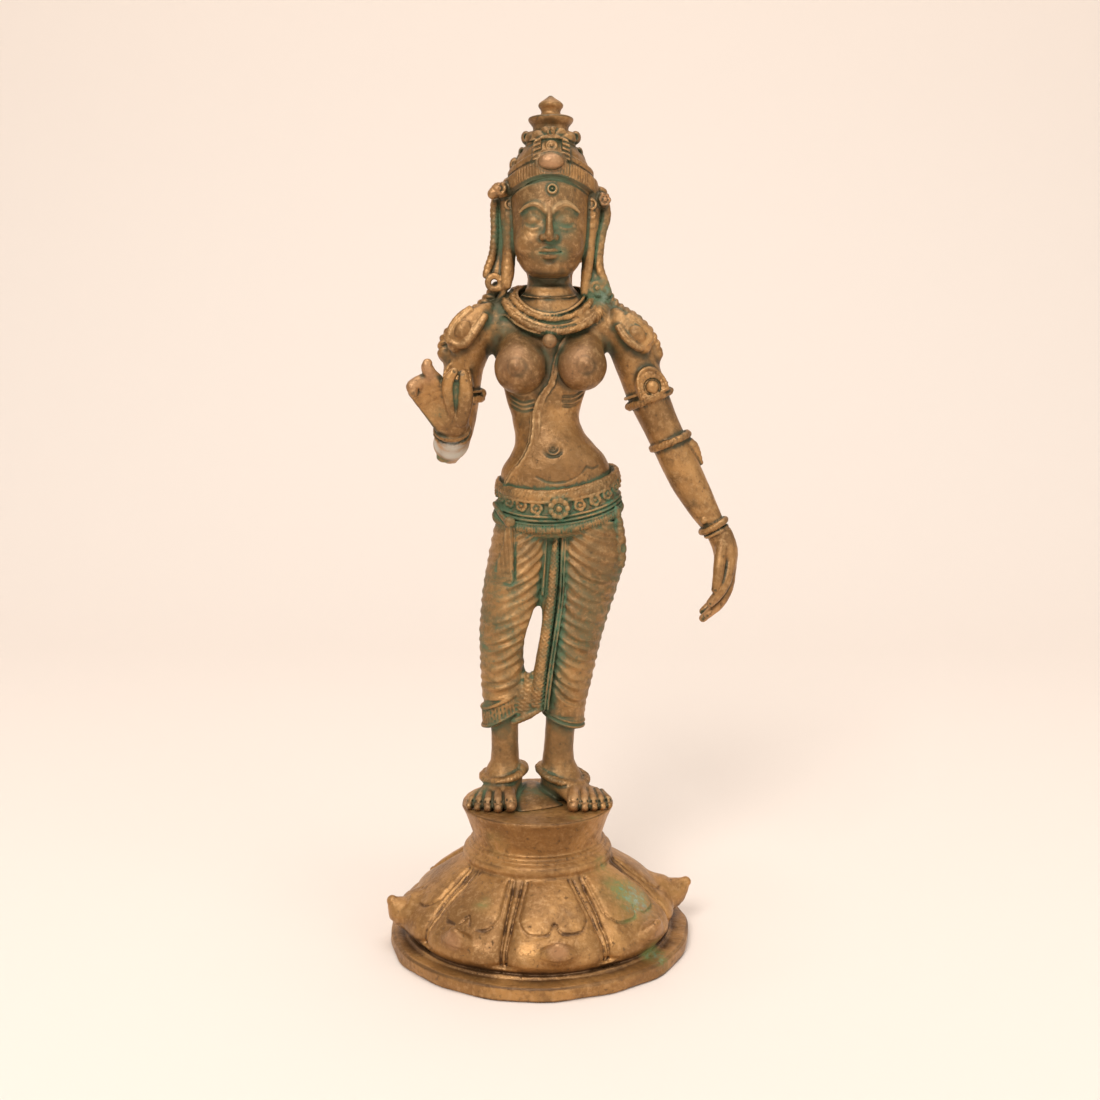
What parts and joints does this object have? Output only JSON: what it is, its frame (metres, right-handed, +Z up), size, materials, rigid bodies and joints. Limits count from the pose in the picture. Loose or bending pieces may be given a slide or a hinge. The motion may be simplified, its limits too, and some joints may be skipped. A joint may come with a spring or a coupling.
{
  "type": "bronze parvati statuette",
  "caption": "Cast bronze statuette of the goddess Parvati, swaying on a round lotus plinth, a hand raised and the other hanging, in a tiered crown and ridged drapery",
  "frame": {"origin": "middle of the plinth's flat underside", "axes": "+X to the viewer's right, +Y to the back of the figure, which faces -Y, and +Z up through the crown"},
  "size_m": [0.1178, 0.1024, 0.28],
  "materials": {
    "figure_bronze": "cast and chased bronze, brown-gold, rubbed bright on the high places, green patina in the hollows",
    "plinth_bronze": "cast bronze, brown-gold, with green corrosion spots and small white pits"
  },
  "bodies": {
    "root": {"parvati_figure": "figure_bronze", "lotus_plinth": "plinth_bronze"}
  },
  "joints": []
}
